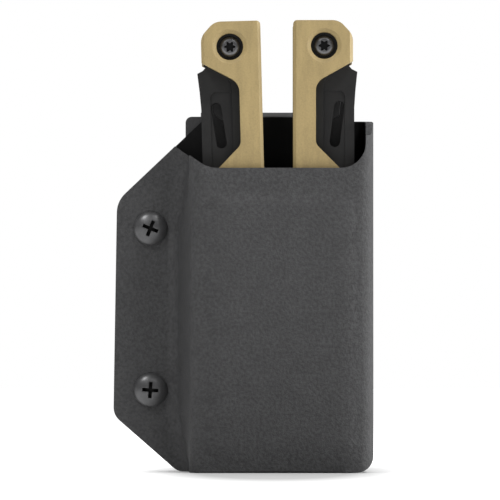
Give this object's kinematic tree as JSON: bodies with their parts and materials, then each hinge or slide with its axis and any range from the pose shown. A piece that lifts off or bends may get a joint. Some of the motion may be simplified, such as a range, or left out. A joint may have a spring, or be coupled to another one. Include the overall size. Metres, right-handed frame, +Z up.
{
  "type": "sheathed multi tool",
  "caption": "Folding plier multi tool with tan handle scales, carried tail up in a black folded-sheet belt sheath with a screwed side flange and a sprung belt clip.",
  "frame": {"origin": "centre of the overall box in X and Y, at the height of the sheath's lower cut edge", "axes": "+Z up along the handles towards their tail ends, -Y out of the sheath's front panel, +X towards the folded side, away from the screw flange"},
  "size_m": [0.068, 0.036, 0.1179],
  "materials": {
    "moulded_sheet": "fine haircell grain",
    "black_fastener": "black oxide",
    "rubber_spacer": "matte",
    "clip_polymer": "fine spark texture",
    "insert_brass": "turned",
    "tan_coating": "bead blasted, matte coated",
    "liner_steel": "black oxide",
    "pivot_steel": "turned",
    "dark_screw": "dark oxide",
    "washer_bronze": "satin",
    "black_oxide": "black oxide",
    "cutter_steel": "ground"
  },
  "bodies": {
    "sheath": {"sheath_shell": "moulded_sheet", "flange_screws": "black_fastener", "flange_posts": "black_fastener", "flange_spacers": "rubber_spacer", "clip_plate": "clip_polymer", "clip_screws": "black_fastener", "clip_inserts": "insert_brass"},
    "clip_arm": {"clip_arm": "clip_polymer"},
    "right_handle": {"right_front_scale": "tan_coating", "right_back_scale": "tan_coating", "right_front_liner": "liner_steel", "right_back_liner": "liner_steel", "right_tail_barrel": "pivot_steel", "right_tail_screws": "dark_screw", "right_tail_washers": "washer_bronze", "right_head_barrel": "pivot_steel", "right_head_screws": "dark_screw", "right_guide_pin": "pivot_steel", "right_backspacer": "black_oxide", "knife_blade": "black_oxide", "saw_blade": "black_oxide", "large_driver": "black_oxide", "cross_driver": "black_oxide"},
    "right_button": {"right_release_button": "black_oxide"},
    "bottle_opener": {"bottle_opener": "black_oxide"},
    "awl": {"awl": "black_oxide"},
    "right_jaw": {"right_plier_half": "black_oxide", "plier_pivot": "pivot_steel", "right_cutter": "cutter_steel"},
    "left_jaw": {"left_plier_half": "black_oxide", "plier_spring": "pivot_steel", "left_cutter": "cutter_steel"},
    "left_handle": {"left_front_scale": "tan_coating", "left_back_scale": "tan_coating", "left_front_liner": "liner_steel", "left_back_liner": "liner_steel", "left_tail_barrel": "pivot_steel", "left_tail_screws": "dark_screw", "left_tail_washers": "washer_bronze", "left_head_barrel": "pivot_steel", "left_head_screws": "dark_screw", "left_guide_pin": "pivot_steel", "left_backspacer": "black_oxide", "serrated_blade": "black_oxide", "hook_blade": "black_oxide", "medium_driver": "black_oxide", "file_blade": "black_oxide"},
    "left_button": {"left_release_button": "black_oxide"},
    "can_opener": {"can_opener": "black_oxide"},
    "small_driver": {"small_driver": "black_oxide"}
  },
  "joints": [
    {"name": "clip_flex", "type": "hinge", "parent": "sheath", "child": "clip_arm", "pos_m": [0.00385, 0.0155, 0.08985], "axis": [1, 0, 0], "range_deg": [0, 7], "stiffness_Nm_per_rad": 6, "springref_deg": -1.15},
    {"name": "tool_draw", "type": "slide", "parent": "sheath", "child": "right_handle", "axis": [0, 0, 1], "range_m": [0, 0.09]},
    {"name": "pliers_slide", "type": "slide", "parent": "right_handle", "child": "right_jaw", "axis": [0, 0, -1], "range_m": [0, 0.038]},
    {"name": "handle_squeeze", "type": "hinge", "parent": "right_jaw", "child": "left_jaw", "pos_m": [0.01, -0.0057, 0.03], "axis": [0, 1, 0], "range_deg": [0, 4], "stiffness_Nm_per_rad": 6, "springref_deg": -2.29},
    {"name": "left_handle_slide", "type": "slide", "parent": "left_jaw", "child": "left_handle", "axis": [-0.0262, 0, 0.9997], "range_m": [0, 0.038]},
    {"name": "right_button_slide", "type": "slide", "parent": "right_handle", "child": "right_button", "axis": [0, 0, 1], "range_m": [0, 0.0035], "stiffness_N_per_m": 400, "springref_m": -0.001},
    {"name": "left_button_slide", "type": "slide", "parent": "left_handle", "child": "left_button", "axis": [-0.0262, 0, 0.9997], "range_m": [0, 0.0035], "stiffness_N_per_m": 400, "springref_m": -0.001},
    {"name": "bottle_opener_swing", "type": "hinge", "parent": "right_handle", "child": "bottle_opener", "pos_m": [0.02126, -0.0057, 0.1113], "axis": [0, -1, 0], "range_deg": [0, 178]},
    {"name": "awl_swing", "type": "hinge", "parent": "right_handle", "child": "awl", "pos_m": [0.02126, -0.0057, 0.1113], "axis": [0, -1, 0], "range_deg": [0, 178]},
    {"name": "can_opener_swing", "type": "hinge", "parent": "left_handle", "child": "can_opener", "pos_m": [-0.00339, -0.0057, 0.11098], "axis": [0, 1, 0], "range_deg": [0, 178]},
    {"name": "small_driver_swing", "type": "hinge", "parent": "left_handle", "child": "small_driver", "pos_m": [-0.00339, -0.0057, 0.11098], "axis": [0, 1, 0], "range_deg": [0, 178]}
  ],
  "couplings": [
    {"joint": "left_handle_slide", "follows": "pliers_slide", "ratio": 1}
  ]
}
